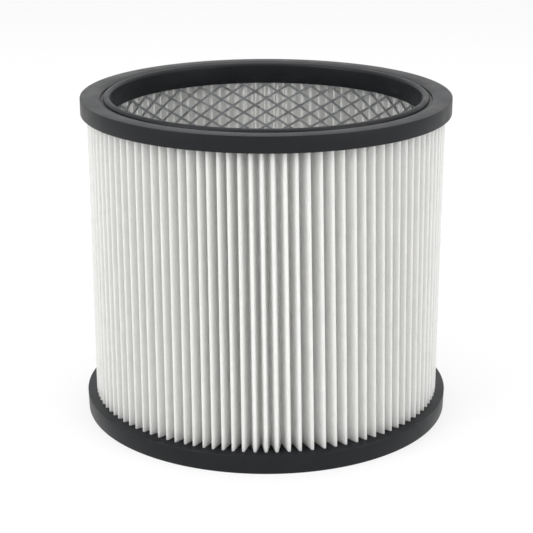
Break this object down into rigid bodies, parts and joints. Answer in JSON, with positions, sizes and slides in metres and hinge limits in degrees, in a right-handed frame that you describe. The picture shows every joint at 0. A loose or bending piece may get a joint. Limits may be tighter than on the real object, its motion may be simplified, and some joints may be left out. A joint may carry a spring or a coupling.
{
  "type": "vacuum cartridge filter",
  "caption": "Cylindrical cartridge filter for a vacuum cleaner: a ring of deep white pleats round a steel mesh tube, moulded into soft black ring-shaped end caps with an open bore.",
  "frame": {"origin": "centre of the resting face of the bottom end cap", "axes": "+Z along the axis of the cartridge, from the bottom cap to the top cap; -Y faces the viewer of the picture"},
  "size_m": [0.2033, 0.2034, 0.178],
  "materials": {
    "end_cap": "satin",
    "media": "matte",
    "mesh": "satin"
  },
  "bodies": {
    "root": {"top_end_cap": "end_cap", "bottom_end_cap": "end_cap", "pleated_media": "media", "mesh_core": "mesh"}
  },
  "joints": []
}
